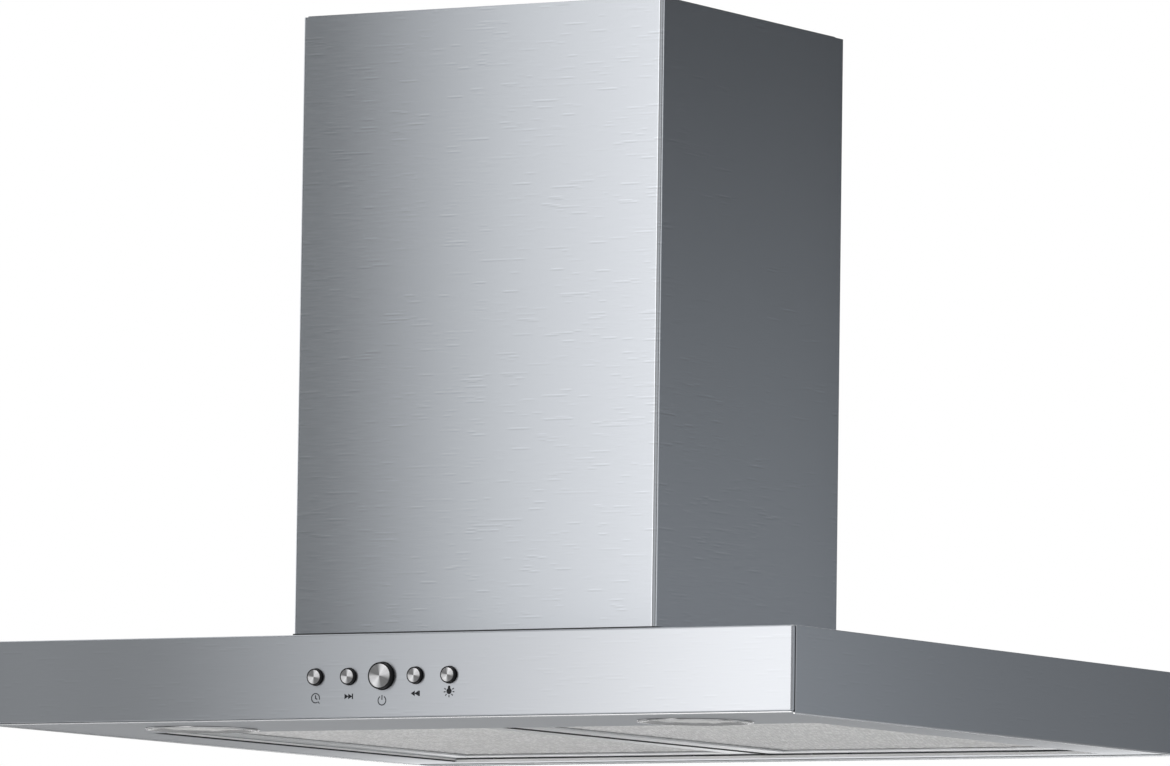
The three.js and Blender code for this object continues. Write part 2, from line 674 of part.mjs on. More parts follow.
const standoffs = grown(carrierX, -standoff.inset).flatMap((x) => grown(carrierZ, -standoff.inset).map((z) =>
  rod('y', standoff.radius, [carrierFloor + seat, boardFront - seat], [x, z], smallSegments)));
const stemHoles = buttons.map(({ x }) => rod('y', stemRadius + seat,
  [carrierFloor - past, carrierBack + past], [x, buttonZ], smallSegments));
place('button_carrier', join(cut(
  block(carrierX, [collarFront, carrierBack], carrierZ),
  block(grown(carrierX, -carrierWall), [collarFront - past, carrierFloor], grown(carrierZ, -carrierWall)),
  ...stemHoles,
), ...standoffs), darkPlastic());
place('control_board', join(
  block(carrierX, [boardFront, boardFront + boardSheet], carrierZ),
  ...buttons.map(({ x }) => block(around(boardSwitch.half, x), [switchTip, boardFront + boardSheet / 2],
    around(boardSwitch.half, buttonZ))),
), boardGreen());

const controlBoxFront = canopyFront + controlBox.fromFront;
const controlBoxTop = canopyTop - sheet - seat;
place('control_box', block(around(controlBox.width / 2),
  [controlBoxFront, controlBoxFront + controlBox.depth],
  [controlBoxTop - controlBox.height, controlBoxTop]), darkPlastic());

const glandBottom = canopyTop - sheet - glandBelow;
const glandTop = baseTop + seat + glandNut.height;
place('cable_gland', cut(
  join(
    rod('z', glandRadius, [glandBottom, glandTop], [-glandX, 0], headSegments),
    rod('z', glandRadius + glandNut.rim, [baseTop + seat, glandTop], [-glandX, 0], 6),
  ),
  rod('z', glandBore, [glandBottom - past, glandTop + past], [-glandX, 0], smallSegments),
), darkPlastic());

export default hood;
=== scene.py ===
"""A ceiling-hung range hood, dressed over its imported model. Metres, +Z up, origin at the ceiling."""
import math

import bmesh
import bpy
from mathutils import Matrix, Vector


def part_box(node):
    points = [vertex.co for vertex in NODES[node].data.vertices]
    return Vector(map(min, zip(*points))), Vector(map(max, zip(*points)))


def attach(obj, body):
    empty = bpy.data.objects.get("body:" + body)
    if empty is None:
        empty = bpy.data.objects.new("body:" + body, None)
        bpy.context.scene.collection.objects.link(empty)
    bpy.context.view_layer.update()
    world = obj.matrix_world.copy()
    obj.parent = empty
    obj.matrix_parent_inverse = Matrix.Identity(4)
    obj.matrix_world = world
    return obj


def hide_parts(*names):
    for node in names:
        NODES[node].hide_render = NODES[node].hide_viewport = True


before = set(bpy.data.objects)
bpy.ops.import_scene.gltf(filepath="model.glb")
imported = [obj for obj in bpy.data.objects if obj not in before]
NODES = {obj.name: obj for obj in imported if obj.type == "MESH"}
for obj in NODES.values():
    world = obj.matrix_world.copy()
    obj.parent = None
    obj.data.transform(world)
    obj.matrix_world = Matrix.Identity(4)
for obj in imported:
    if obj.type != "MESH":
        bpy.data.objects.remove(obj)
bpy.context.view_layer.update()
MM = 0.001
SCENE = bpy.context.scene

# ---------------------------------------------------------------- camera
# Fitted to the straight edges in the photograph. Its long lens stands well back.
IMAGE_WIDTH = 1170
SENSOR = 36.0
FOCAL_PIXELS = 9609.0
CAMERA_AT = (3.1865, -5.5102, -0.7934)
CAMERA_YAW = math.radians(29.949)
CAMERA_PITCH = math.radians(4.985)
CAMERA_ROLL = math.radians(0.8)


def make_camera():
    """The photograph's long-lens view, from the right and a little below the canopy."""
    forward = Vector((
        -math.sin(CAMERA_YAW) * math.cos(CAMERA_PITCH),
        math.cos(CAMERA_YAW) * math.cos(CAMERA_PITCH),
        math.sin(CAMERA_PITCH),
    ))
    level = Vector((math.cos(CAMERA_YAW), math.sin(CAMERA_YAW), 0))
    upright = level.cross(forward)
    across = level * math.cos(CAMERA_ROLL) + upright * math.sin(CAMERA_ROLL)
    up = upright * math.cos(CAMERA_ROLL) - level * math.sin(CAMERA_ROLL)
    data = bpy.data.cameras.new("camera")
    data.sensor_width = SENSOR
    data.lens = FOCAL_PIXELS * SENSOR / IMAGE_WIDTH
    data.clip_end = 200
    camera = bpy.data.objects.new("camera", data)
    turn = Matrix((across, up, -forward)).transposed().to_4x4()
    camera.matrix_world = Matrix.Translation(CAMERA_AT) @ turn
    SCENE.collection.objects.link(camera)
    SCENE.camera = camera


make_camera()
SCENE.view_settings.view_transform = "Standard"

# ---------------------------------------------------------------- node material helpers


class Nodes:
    """A short way to write a node tree. Each method returns a socket, except node, which returns the node."""

    def __init__(self, tree):
        self.tree = tree

    def node(self, kind, **settings):
        made = self.tree.nodes.new(kind)
        for key, value in settings.items():
            setattr(made, key, value)
        return made

    def feed(self, socket, value):
        if isinstance(value, bpy.types.NodeSocket):
            self.tree.links.new(value, socket)
        else:
            socket.default_value = value

    def math(self, operation, a, b=0.0, c=0.0):
        made = self.node("ShaderNodeMath", operation=operation)
        for socket, value in zip(made.inputs, (a, b, c)):
            self.feed(socket, value)
        return made.outputs[0]

    def vector(self, operation, a, b):
        made = self.node("ShaderNodeVectorMath", operation=operation)
        self.feed(made.inputs[0], a)
        self.feed(made.inputs[1], b)
        return made.outputs["Vector"]

    def scaled(self, vector, amount):
        made = self.node("ShaderNodeVectorMath", operation="SCALE")
        self.feed(made.inputs[0], vector)
        self.feed(made.inputs["Scale"], amount)
        return made.outputs["Vector"]

    def place(self, kind="Object"):
        return self.node("ShaderNodeTexCoord").outputs[kind]

    def parts(self, vector):
        made = self.node("ShaderNodeSeparateXYZ")
        self.feed(made.inputs[0], vector)
        return made.outputs

    def join(self, x, y, z):
        made = self.node("ShaderNodeCombineXYZ")
        for socket, value in zip(made.inputs, (x, y, z)):
            self.feed(socket, value)
        return made.outputs[0]

    def noise(self, vector, scale=1.0, detail=2.0):
        made = self.node("ShaderNodeTexNoise")
        self.feed(made.inputs["Vector"], vector)
        made.inputs["Scale"].default_value = scale
        made.inputs["Detail"].default_value = detail
        return made.outputs["Fac"]

    def cells(self, vector, scale, feature="F1", output="Distance"):
        made = self.node("ShaderNodeTexVoronoi", feature=feature)
        self.feed(made.inputs["Vector"], vector)
        made.inputs["Scale"].default_value = scale
        return made.outputs[output]

    def span(self, value, low, high, to_low=0.0, to_high=1.0, smooth=True):
        made = self.node("ShaderNodeMapRange", interpolation_type="SMOOTHSTEP" if smooth else "LINEAR")
        for socket, given in zip(made.inputs, (value, low, high, to_low, to_high)):
            self.feed(socket, given)
        return made.outputs[0]

    def ramp(self, value, stops):
        made = self.node("ShaderNodeValToRGB")
        elements = made.color_ramp.elements
        while len(elements) < len(stops):
            elements.new(0.5)
        for element, (position, color) in zip(elements, stops):
            element.position = position
            element.color = (*color, 1)
        self.feed(made.inputs[0], value)
        return made.outputs[0]

    def mix(self, factor, a, b):
        made = self.node("ShaderNodeMix", data_type="RGBA")
        self.feed(made.inputs["Factor"], factor)
        for socket, value in ((made.inputs[6], a), (made.inputs[7], b)):
            self.feed(socket, (*value, 1) if isinstance(value, tuple) and len(value) == 3 else value)
        return made.outputs[2]

    def bump(self, height, distance, strength=1.0):
        made = self.node("ShaderNodeBump")
        made.inputs["Strength"].default_value = strength
        made.inputs["Distance"].default_value = distance
        self.feed(made.inputs["Height"], height)
        return made.outputs[0]


class Shader(Nodes):
    """A node material round a Principled BSDF."""

    def __init__(self, name):
        self.material = bpy.data.materials.new(name)
        self.material.use_nodes = True
        super().__init__(self.material.node_tree)
        self.bsdf = self.tree.nodes["Principled BSDF"]

    def show(self, surface):
        """Gives the material another surface than its Principled BSDF."""
        self.feed(self.tree.nodes["Material Output"].inputs["Surface"], surface)

    def finish(self, **inputs):
        """Sets the BSDF's inputs by name, with _ for each space, and returns the material."""
        for key, value in inputs.items():
            socket = self.bsdf.inputs[key.replace("_", " ")]
            self.feed(socket, (*value, 1) if isinstance(value, tuple) and len(value) == 3 else value)
        return self.material


def shade(color, amount):
    return tuple(channel * amount for channel in color)


# ---------------------------------------------------------------- finishes
STEEL = (0.60, 0.628, 0.668)
# Lengths and widths of the steel's marks, in metres.
GRAIN_LENGTH, GRAIN_WIDTH = 0.016, 0.0007
PATCH_LENGTH, PATCH_WIDTH = 0.06, 0.009
DASH_LENGTH, DASH_ROW = 0.022, 0.0011
LANE_STEP = 7.31  # far enough apart for neighbouring rows of dashes to differ
GRAIN_TONE, DASH_TONE = 0.024, 0.12


def brushed_steel(name, color=STEEL, roughness=0.20, anisotropic=0.9, grain=1.0, dashes=1.0):
    """Sheet steel ground level round the walls and along x on flat faces: a soft fine grain, and scattered
    longer dashes, each light with a dark one above it."""
    s = Shader(name)
    x, y, z = s.parts(s.place())
    facing = s.parts(s.place("Normal"))
    flat = s.math("GREATER_THAN", s.math("ABSOLUTE", facing[2]), 0.7)
    upright = s.math("SUBTRACT", 1.0, flat)
    along = s.math("ADD", x, s.math("MULTIPLY", y, upright))
    across = s.math("ADD", z, s.math("MULTIPLY", s.math("SUBTRACT", y, z), flat))
    side = s.math("MULTIPLY", s.math("SUBTRACT", x, y), 5.0)

    def marks(length, width, detail):
        place = s.join(s.math("MULTIPLY", along, 1 / length), s.math("MULTIPLY", across, 1 / width), side)
        return s.noise(place, 1.0, detail)

    fine = marks(GRAIN_LENGTH, GRAIN_WIDTH, 2.0)
    patch = s.span(marks(PATCH_LENGTH, PATCH_WIDTH, 1.0), 0.38, 0.60, 0.4, 1.0)
    rows = s.math("DIVIDE", across, DASH_ROW)
    row = s.math("FLOOR", rows)
    swell = s.math("SINE", s.math("MULTIPLY", s.math("SUBTRACT", rows, row), math.pi))

    def dash(rows_up):
        lane = s.math("MULTIPLY", s.math("ADD", row, rows_up), LANE_STEP)
        place = s.join(s.math("MULTIPLY", along, 1 / DASH_LENGTH), lane, s.math("MULTIPLY", side, 0.2))
        return s.span(s.noise(place, 1.0, 1.0), 0.60, 0.72)

    pair = s.math("MULTIPLY", s.math("SUBTRACT", dash(0.0), dash(1.0)), s.math("MULTIPLY", patch, swell))
    ground = s.span(fine, 0.25, 0.75, -GRAIN_TONE * grain, GRAIN_TONE * grain, smooth=False)
    tone = s.math("ADD", s.math("MULTIPLY_ADD", pair, DASH_TONE * dashes, 1.0), ground)
    s.feed(s.bsdf.inputs["Tangent"], s.join(0.0, flat, upright))
    return s.finish(
        Base_Color=s.scaled(color, tone),
        Metallic=1.0,
        Roughness=s.span(fine, 0.3, 0.7, roughness - 0.015, roughness + 0.015, smooth=False),
        Anisotropic=anisotropic,
        Normal=s.bump(fine, 0.000003, 0.5),
    )


def galvanised_steel(name):
    s = Shader(name)
    at = s.place()
    spangle = s.cells(at, 90, output="Color")
    grain = s.noise(at, 900, 3)
    shine = s.span(s.parts(spangle)[0], 0, 1, 0.42, 0.50, smooth=False)
    tone = s.ramp(s.parts(spangle)[1], [(0, (0.46, 0.48, 0.50)), (1, (0.54, 0.56, 0.58))])
    return s.finish(
        Base_Color=s.mix(s.math("MULTIPLY", grain, 0.25), tone, (0.34, 0.36, 0.38)),
        Metallic=0.95,
        Roughness=shine,
        Normal=s.bump(grain, 0.00004),
    )


def moulded_plastic(name, color, roughness=0.48, specular=0.5):
    """A fine spark-eroded grain, slightly worn and dusty in patches."""
    s = Shader(name)
    at = s.place()
    grain = s.noise(at, 2600, 2)
    patch = s.noise(at, 26, 3)
    return s.finish(
        Base_Color=s.mix(s.span(patch, 0.3, 0.75), color, tuple(min(1, c * 1.25 + 0.008) for c in color)),
        Roughness=s.span(patch, 0.2, 0.8, roughness - 0.06, roughness + 0.08),
        Specular_IOR_Level=specular,
        Normal=s.bump(grain, 0.00003),
    )


def satin_aluminium(name, color=(0.76, 0.775, 0.79), roughness=0.34):
    s = Shader(name)
    at = s.place()
    drawn = s.noise(s.vector("MULTIPLY", at, (40, 900, 900)), 1.0, 3)
    patch = s.noise(at, 35, 2)
    tone = s.math("ADD", s.span(drawn, 0.25, 0.75, 0.93, 1.05), s.span(patch, 0.3, 0.7, -0.03, 0.03))
    return s.finish(
        Base_Color=s.scaled(color, tone),
        Metallic=0.95,
        Roughness=s.span(drawn, 0.2, 0.8, roughness - 0.05, roughness + 0.07),
        Normal=s.bump(drawn, 0.00001),
    )


def filter_wire(name, color=(0.97, 0.97, 0.97)):
    """Pale metal mesh, with painted shade between its finest strands."""
    s = Shader(name)
    at = s.place()
    layer = s.noise(at, 420, 2)
    patch = s.noise(at, 30, 3)
    strand_gap_shade = s.cells(s.vector("MULTIPLY", at, (1.0, 0.6, 1.0)), 280)
    metal = s.mix(s.span(patch, 0.3, 0.7), shade(color, 0.94), shade(color, 1.02))
    return s.finish(
        Base_Color=s.scaled(metal, s.span(strand_gap_shade, 0.25, 0.6, 1.0, 0.84)),
        Metallic=0.2,
        Roughness=s.span(layer, 0.3, 0.7, 0.34, 0.5),
        Normal=s.bump(layer, 0.00003),
    )


def spun_metal(name, color=(0.84, 0.85, 0.87), roughness=0.46):
    """A lathe-faced button cap: rings about the y axis, so light gathers in two opposite sectors. Lighter and darker
    sectors by turn angle are also painted into its colour, a painted highlight and shade.
    """
    s = Shader(name)
    centred = s.vector("SUBTRACT", s.place("Generated"), (0.5, 0.5, 0.5))
    x, y, z = s.parts(centred)
    radius = s.math("SQRT", s.math("ADD", s.math("MULTIPLY", x, x), s.math("MULTIPLY", z, z)))
    ring = s.noise(s.join(s.math("MULTIPLY", radius, 90), 0.0, 0.0), 1.0, 2)
    turn = s.math("ARCTAN2", z, x)
    ray = s.noise(s.join(s.math("COSINE", turn), s.math("SINE", turn), 3.0), 3.2, 2)
    # Painted highlight and shade: two light and two dark sectors by turn angle, multiplied into the cap's colour.
    painted_light_and_shade_wedge = s.math("COSINE", s.math("MULTIPLY", s.math("SUBTRACT", turn, math.radians(42)), 2.0))
    tone = s.math("ADD", s.span(ring, 0.3, 0.7, 0.93, 1.05), s.span(ray, 0.35, 0.65, -0.05, 0.05))
    tone = s.math("MULTIPLY", tone, s.span(painted_light_and_shade_wedge, -0.75, 0.45, 0.30, 1.08))
    tangent = s.node("ShaderNodeTangent", direction_type="RADIAL", axis="Y")
    s.feed(s.bsdf.inputs["Tangent"], tangent.outputs[0])
    return s.finish(
        Base_Color=s.scaled(color, tone),
        Metallic=1.0,
        Roughness=s.span(ring, 0.3, 0.7, roughness - 0.03, roughness + 0.04),
        Anisotropic=0.97,
        Anisotropic_Rotation=0.25,
        Normal=s.bump(ring, 0.00001),
    )


def polished_trim(name, color=(0.60, 0.61, 0.62)):
    s = Shader(name)
    at = s.place()
    haze = s.noise(at, 60, 3)
    return s.finish(
        Base_Color=s.mix(s.span(haze, 0.3, 0.7), shade(color, 0.94), shade(color, 1.04)),
        Metallic=1.0,
        Roughness=s.span(haze, 0.3, 0.8, 0.16, 0.24),
    )


def frosted_glass(name):
    s = Shader(name)
    at = s.place()
    ribs = s.noise(at, 700, 2)
    return s.finish(
        Base_Color=s.mix(s.noise(at, 90, 2), (0.88, 0.89, 0.88), (0.94, 0.94, 0.93)),
        Roughness=s.span(ribs, 0.3, 0.7, 0.14, 0.24),
        Transmission_Weight=0.12,
        IOR=1.48,
        Normal=s.bump(ribs, 0.00008),
    )


def painted_motor(name):
    s = Shader(name)
    at = s.place()
    cast = s.noise(at, 500, 3)
    return s.finish(
        Base_Color=s.mix(cast, (0.13, 0.14, 0.15), (0.19, 0.20, 0.22)),
        Metallic=0.6,
        Roughness=s.span(cast, 0.3, 0.7, 0.42, 0.58),
        Normal=s.bump(cast, 0.00008),
    )


def circuit_board(name):
    s = Shader(name)
    at = s.place()
    track = s.span(s.cells(at, 260, feature="DISTANCE_TO_EDGE"), 0.02, 0.06)
    return s.finish(
        Base_Color=s.mix(track, (0.06, 0.20, 0.09), (0.03, 0.12, 0.05)),
        Roughness=s.span(s.noise(at, 300, 2), 0.3, 0.7, 0.35, 0.5),
        Normal=s.bump(track, 0.00004),
    )


def printed_ink(name, color):
    s = Shader(name)
    at = s.place()
    wear = s.noise(at, 3000, 2)
    return s.finish(
        Base_Color=s.mix(s.span(wear, 0.35, 0.7), color, tuple(min(1, c * 1.3 + 0.01) for c in color)),
        Roughness=s.span(wear, 0.3, 0.7, 0.5, 0.65),
        Specular_IOR_Level=0.15,
        Normal=s.bump(wear, 0.00001),
    )


# The canopy's steel is ground coarser than the chimney's: roughness, anisotropy, grain and dashes.
COARSE = (0.30, 0.75, 0.7, 0.45)
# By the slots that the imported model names.
FINISH = {
    # A darker copy of the steel, painted shade on the canopy, fascia and pan.
    "brushed_steel": brushed_steel("brushed_steel_canopy_shaded", shade(STEEL, 0.8), *COARSE),
    "galvanised": galvanised_steel("galvanised_sheet"),
    "dark_plastic": moulded_plastic("dark_plastic_moulded", (0.018, 0.019, 0.021)),
    "white_plastic": moulded_plastic("white_plastic_moulded", (0.72, 0.72, 0.70), 0.4),
    "aluminium": satin_aluminium("aluminium_satin"),
    "filter_mesh": filter_wire("filter_mesh_metal"),
    "button_metal": spun_metal("button_spun_metal"),
    "chrome_trim": polished_trim("chrome_polished"),
    "lamp_glass": frosted_glass("lamp_glass_frosted"),
    "motor_metal": painted_motor("motor_painted"),
    "circuit_board": circuit_board("board_green"),
}
# Lighter and darker copies of the same steel: painted light on the chimney cover, painted shade on the canopy's shell.
LIT_COVER_STEEL = brushed_steel("brushed_steel_cover_lit", shade(STEEL, 1.05))
SHADED_SHELL_STEEL = brushed_steel("brushed_steel_shell_shaded", shade(STEEL, 0.72), *COARSE)
# Polished metal much lighter than the sheet steel: a painted highlight along sheet edges.
EDGE_HIGHLIGHT_METAL = polished_trim("sheet_edge_painted_highlight", (0.90, 0.91, 0.92))
DARK = FINISH["dark_plastic"]
BLACK = moulded_plastic("button_collar_black", (0.004, 0.004, 0.005), 0.5, 0.22)
GREY = moulded_plastic("seal_grey", (0.16, 0.17, 0.18), 0.5, 0.3)
# Pale plastic strips in the filter well, a painted highlight.
HIGHLIGHT_PALE = moulded_plastic("seal_pale", (0.84, 0.84, 0.83), 0.45)
INK_DARK = printed_ink("ink_dark", (0.010, 0.011, 0.013))
INK_GREY = printed_ink("ink_grey", (0.035, 0.037, 0.042))

# ---------------------------------------------------------------- carried CAD nodes
# Each keeps its solid. Sheet edges get a small bend radius, and every node its finish.
SHEET_NODES = ("canopy_shell", "bottom_pan", "lower_cover_rear_panel", "upper_cover", "upper_cover_rear_panel")
SHEET_BEND, PLAIN_EDGE = (0.45 * MM, 3), (0.2 * MM, 1)  # radius and segments


def finish_of(node, cad_materials):
    if "cover" in node:
        return LIT_COVER_STEEL
    if node == "canopy_shell":
        return SHADED_SHELL_STEEL
    if "latch" in node:
        return FINISH["aluminium"]
    name = cad_materials[0].name if cad_materials else ""
    return FINISH[next((slot for slot in FINISH if name.startswith(slot)), "galvanised")]


def level_normals(piece):
    level = piece.modifiers.new("level", "WEIGHTED_NORMAL")
    level.weight = 100
    level.keep_sharp = True


def soften(piece, width, segments):
    """Rounds the edges without touching the mesh itself."""
    weld = piece.modifiers.new("weld", "WELD")
    weld.merge_threshold = 1e-6
    bevel = piece.modifiers.new("bevel", "BEVEL")
    bevel.width = width
    bevel.segments = segments
    bevel.limit_method = "ANGLE"
    bevel.angle_limit = math.radians(35)
    bevel.harden_normals = False
    level_normals(piece)


for node, carried in NODES.items():
    finish = finish_of(node, carried.data.materials)
    if carried.data.materials:
        for material_slot in carried.material_slots:
            material_slot.material = finish
    else:
        carried.data.materials.append(finish)
    soften(carried, *(SHEET_BEND if node in SHEET_NODES else PLAIN_EDGE))

# ---------------------------------------------------------------- mesh helpers, in millimetres


def span_of(node):
    low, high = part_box(node)
    return low / MM, high / MM


def make(name, mesh, body, finish, replaces=(), smooth_angle=35):
    """Links a finished mesh as a piece that rides on a body."""
    mesh.name = name
    piece = bpy.data.objects.new(name, mesh)
    SCENE.collection.objects.link(piece)
    mesh.materials.clear()
    mesh.materials.append(finish)
    mesh.shade_smooth()
    mesh.set_sharp_from_angle(angle=math.radians(smooth_angle))
    level_normals(piece)
    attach(piece, body)
    if replaces:
        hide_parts(*replaces)


def from_faces(points, faces):
    mesh = bpy.data.meshes.new("mesh")
    mesh.from_pydata([tuple(c * MM for c in point) for point in points], [], faces)
    mesh.validate()
    mesh.update()
    return mesh


def box_mesh(low, high):
    x, y, z = zip(low, high)
    points = [(x[i], y[j], z[k]) for i in (0, 1) for j in (0, 1) for k in (0, 1)]
    faces = [(0, 1, 3, 2), (4, 6, 7, 5), (0, 4, 5, 1), (2, 3, 7, 6), (0, 2, 6, 4), (1, 5, 7, 3)]
    return from_faces(points, faces)


def joined(*meshes):
    work = bmesh.new()
    for mesh in meshes:
        work.from_mesh(mesh)
    result = bpy.data.meshes.new("mesh")
    work.to_mesh(result)
    work.free()
    return result


def round_edges(mesh, width, segments, wanted):
    """Rounds the edges for which wanted(start, end) is true."""
    work = bmesh.new()
    work.from_mesh(mesh)
    chosen = [e for e in work.edges if wanted(e.verts[0].co / MM, e.verts[1].co / MM)]
    bmesh.ops.bevel(work, geom=chosen, offset=width * MM, segments=segments, profile=0.5, affect="EDGES",
                    clamp_overlap=True)
    work.to_mesh(mesh)
    work.free()
    return mesh


def cut_out(target, tools):
    """The target less each tool, by an exact boolean."""
    base = bpy.data.objects.new("target", target)
    SCENE.collection.objects.link(base)
    helpers = []
    for tool in tools:
        helper = bpy.data.objects.new("tool", tool)
        SCENE.collection.objects.link(helper)
        modifier = base.modifiers.new("cut", "BOOLEAN")
        modifier.operation = "DIFFERENCE"
        modifier.solver = "EXACT"
        modifier.object = helper
        helpers.append(helper)
    bpy.context.view_layer.update()
    result = bpy.data.meshes.new_from_object(base.evaluated_get(bpy.context.evaluated_depsgraph_get()))
    for extra in [base, *helpers]:
        bpy.data.objects.remove(extra)
    return result


def lathe(profile, centre, axis="y", steps=64, closed=False):
    """Turns (radius, height) pairs about an axis through a centre."""
    points, faces = [], []
    for step in range(steps):
        turn = 2 * math.pi * step / steps
        for radius, height in profile:
            a, b = radius * math.cos(turn), radius * math.sin(turn)
            if axis == "y":
                points.append((centre[0] + a, height, centre[1] + b))
            else:
                points.append((centre[0] + a, centre[1] + b, height))
    count = len(profile)
    for step in range(steps):
        after = (step + 1) % steps
        for i in range(count if closed else count - 1):
            j = (i + 1) % count
            face = (step * count + i, step * count + j, after * count + j, after * count + i)
            faces.append(face if axis == "y" else face[::-1])
    mesh = from_faces(points, faces)
    work = bmesh.new()
    work.from_mesh(mesh)
    bmesh.ops.remove_doubles(work, verts=work.verts, dist=1e-7)
    bmesh.ops.recalc_face_normals(work, faces=work.faces)
    work.to_mesh(mesh)
    work.free()
    return mesh


def rounded_path(corners, radius, steps=6):
    """The corners joined by straight runs, with each inner corner turned by an arc."""
    path = [Vector(corners[0])]
    for before, corner, after in zip(corners, corners[1:], corners[2:]):
        corner = Vector(corner)
        inward = (Vector(before) - corner).normalized()
        outward = (Vector(after) - corner).normalized()
        half = inward.angle(outward) / 2
        reach = radius / math.tan(half)
        middle = corner + (inward + outward).normalized() * (radius / math.sin(half))
        start = corner + inward * reach - middle
        end = corner + outward * reach - middle
        sweep = start.angle(end)
        for step in range(steps + 1):
            share = step / steps
            blend = start * math.sin((1 - share) * sweep) + end * math.sin(share * sweep)
            path.append(middle + blend / math.sin(sweep))
    path.append(Vector(corners[-1]))
    return path


def bent_sheet(corners, radius, thickness, heights):
    """A sheet folded along a plan outline, upright between two heights. The corners are the outer side's."""
    outer = rounded_path(corners, radius)
    inner = []
    for index, point in enumerate(outer):
        ahead = outer[min(index + 1, len(outer) - 1)] - point
        behind = point - outer[max(index - 1, 0)]
        if ahead.length < 1e-9:
            ahead = behind
        if behind.length < 1e-9:
            behind = ahead
        along = (ahead.normalized() + behind.normalized()).normalized()
        inner.append(point + Vector((-along.y, along.x)) * thickness)
    points = [(p.x, p.y, height) for height in heights for p in outer + inner]
    count = len(outer)
    low, high = 0, 2 * count
    faces = []
    for i in range(count - 1):
        faces.append((low + i, low + i + 1, high + i + 1, high + i))
        faces.append((low + count + i + 1, low + count + i, high + count + i, high + count + i + 1))
        faces.append((low + i + 1, low + i, low + count + i, low + count + i + 1))
        faces.append((high + i, high + i + 1, high + count + i + 1, high + count + i))
    for i, flip in ((0, False), (count - 1, True)):
        face = (low + i, high + i, high + count + i, low + count + i)
        faces.append(face[::-1] if flip else face)
    return from_faces(points, faces)


# ---------------------------------------------------------------- chimney
COVER_BEND, COVER_WALL = 2.8, 1.0
FLANGE_WIDTH, FLANGE_INSET = 14, 1.3
FOOT_PROUD, FOOT_HEIGHT, FOOT_WALL = 1.1, 8.4, 1.0


def three_sides(low, high, proud=0.0, short=0.0):
    """The plan of a sheet round the left, front and right of a box, stood proud of it and cut short at the rear."""
    left, right, front, rear = low.x - proud, high.x + proud, low.y - proud, high.y - short
    return [(left, rear), (left, front), (right, front), (right, rear)]


def make_chimney():
    low, high = span_of("lower_cover")
    wall = bent_sheet(three_sides(low, high), COVER_BEND, COVER_WALL, (low.z, high.z))
    flange_rear = high.y - FLANGE_INSET
    flanges = [
        box_mesh((left, flange_rear - COVER_WALL, low.z), (left + FLANGE_WIDTH, flange_rear, high.z))
        for left in (low.x + COVER_WALL, high.x - COVER_WALL - FLANGE_WIDTH)
    ]
    make("lower_cover_sheet", joined(wall, *flanges), "hood_body", LIT_COVER_STEEL, ["lower_cover"])
    # A dark strip round the chimney's foot: painted shade where the chimney meets the canopy.
    foot = bent_sheet(three_sides(low, high, FOOT_PROUD, 0.4), COVER_BEND + FOOT_PROUD, FOOT_WALL,
                      (low.z, low.z + FOOT_HEIGHT))
    make("chimney_foot_shade_strip", foot, "hood_body", DARK)


make_chimney()

# ---------------------------------------------------------------- fascia
FASCIA_LOW, FASCIA_HIGH = span_of("front_fascia")
FASCIA_FRONT = FASCIA_LOW.y
FASCIA_REAR = FASCIA_FRONT + 2.7
FASCIA_BEND, FASCIA_WALL = 1.3, 1.2
LIP = 0.65
SEAL_REAR, SEAL_WIDTH = -230.6, 3.5
BUTTON_Z = -446.5
# Radius of the cap and collar, radius of the hole, how far they stand proud, and the collar's width.
SMALL, LARGE = (5.3, 5.75, 3.0, 0.78), (8.65, 9.2, 4.0, 1.0)
BUTTONS = {
    "timer_button": (-50.0, SMALL),
    "speed_down_button": (-25.0, SMALL),
    "power_button": (0.0, LARGE),
    "speed_up_button": (25.0, SMALL),
    "lamp_button": (50.0, SMALL),
}


def make_fascia():
    low, high = FASCIA_LOW, FASCIA_HIGH
    front = round_edges(
        box_mesh((low.x, low.y, low.z + LIP), (high.x, FASCIA_REAR, high.z)), FASCIA_BEND, 5,
        lambda a, b: min(a.y, b.y) < low.y + 0.01,
    )
    hollow = box_mesh((low.x + FASCIA_WALL, low.y + FASCIA_WALL, low.z + LIP + 1.0),
                      (high.x - FASCIA_WALL, high.y + 9, high.z - FASCIA_WALL))
    holes = [
        lathe([(0, low.y - 6), (hole, low.y - 6), (hole, low.y + 8), (0, low.y + 8)], (x, BUTTON_Z))
        for x, (_, hole, _, _) in BUTTONS.values()
    ]
    make("front_fascia_sheet", cut_out(front, [hollow, *holes]), "hood_body",
         FINISH["brushed_steel"], ["front_fascia"])
    # A bright strip along the fascia's bottom: a painted highlight where the sheet's bottom bend catches light.
    lip = round_edges(
        box_mesh((low.x + 0.2, low.y + 0.1, low.z), (high.x - 0.2, FASCIA_REAR, low.z + LIP)), 0.3, 4,
        lambda a, b: True,
    )
    make("fascia_highlight_lip", lip, "hood_body", EDGE_HIGHLIGHT_METAL)


def make_fascia_seal():
    """A dark foam strip between the fascia's returns and the shell, which shows as a fine seam all round."""
    low = Vector((FASCIA_LOW.x + 0.7, FASCIA_REAR + 0.05, FASCIA_LOW.z + 0.3))
    high = Vector((FASCIA_HIGH.x - 0.7, SEAL_REAR, FASCIA_HIGH.z - 0.6))
    inset = Vector((SEAL_WIDTH, -2, SEAL_WIDTH))
    seal = cut_out(box_mesh(low, high), [box_mesh(low + inset, high - inset)])
    make("fascia_seal", seal, "hood_body", DARK)


make_fascia()
make_fascia_seal()

# ---------------------------------------------------------------- buttons
COLLAR_FRONT, COLLAR_REAR, STEM_REAR = -233.5, -232.0, -223.0
COLLAR_PROUD, STEM_RADIUS = 2.2, 2.5


